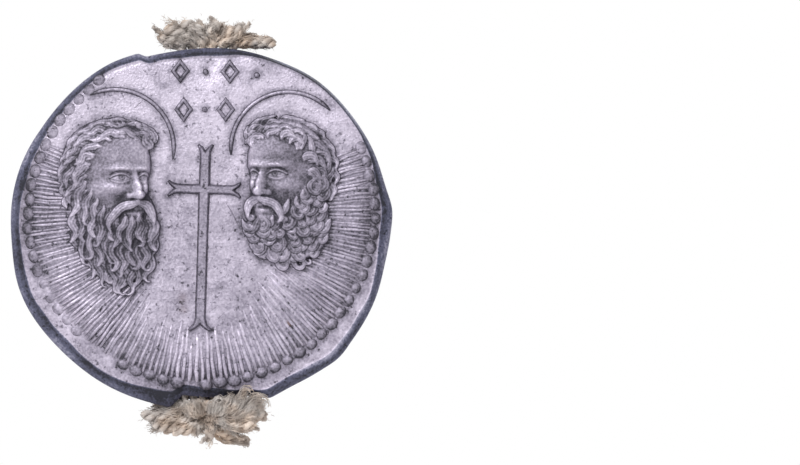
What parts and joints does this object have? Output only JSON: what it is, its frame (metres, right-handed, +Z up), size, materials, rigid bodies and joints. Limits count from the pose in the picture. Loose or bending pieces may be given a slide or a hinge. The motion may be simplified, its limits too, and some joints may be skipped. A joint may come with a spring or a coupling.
{
  "type": "lead bulla seal",
  "caption": "Round lead seal of two struck halves pressed over a frayed hemp cord, with bearded heads, cross, rays and beads on one face and a leaf garland on the other.",
  "frame": {"origin": "middle of the upper mouth of the cord channel, where the cord leaves the lead", "axes": "+X to the right on the face with the two heads, +Y from that face through to the back, +Z up along the cord as the seal hangs"},
  "size_m": [0.0455, 0.0077, 0.0521],
  "materials": {
    "lead": "satin, patinated lead",
    "hemp": "matt undyed hemp"
  },
  "bodies": {
    "root": {"heads_half": "lead", "wreath_half": "lead", "yarn_front_1": "hemp", "yarn_front_2": "hemp", "yarn_front_3": "hemp", "yarn_front_4": "hemp", "yarn_front_5": "hemp", "yarn_front_6": "hemp", "yarn_back_1": "hemp", "yarn_back_2": "hemp", "yarn_back_3": "hemp", "yarn_back_4": "hemp", "yarn_back_5": "hemp", "yarn_back_6": "hemp"}
  },
  "joints": []
}
